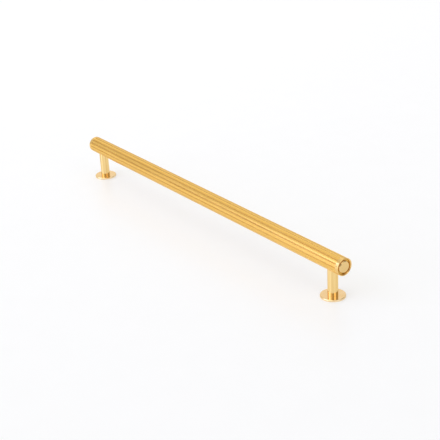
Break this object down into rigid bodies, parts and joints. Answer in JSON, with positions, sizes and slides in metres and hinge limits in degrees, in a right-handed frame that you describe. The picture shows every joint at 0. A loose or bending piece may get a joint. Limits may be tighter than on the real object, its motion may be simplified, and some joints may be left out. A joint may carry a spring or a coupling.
{
  "type": "cabinet pull",
  "caption": "T-bar cabinet pull: a round grooved bar with turned end caps, on plain round posts that stand on thin round roses.",
  "frame": {"origin": "on the cabinet face, the plane of the roses' undersides, midway between the two posts", "axes": "+X along the bar, +Z straight out from the cabinet face, +Y across the bar"},
  "size_m": [0.346, 0.0194, 0.036],
  "materials": {
    "grooved_brass": "satin, brushed along the grooves",
    "turned_brass": "fine turned satin",
    "polished_brass": "polished",
    "stud_steel": "plain zinc plated"
  },
  "bodies": {
    "root": {"bar": "grooved_brass", "end_cap_left": "turned_brass", "end_cap_right": "turned_brass", "post_left": "polished_brass", "post_right": "polished_brass", "post_stud_left": "stud_steel", "post_stud_right": "stud_steel", "rose_left": "polished_brass", "rose_right": "polished_brass"}
  },
  "joints": []
}
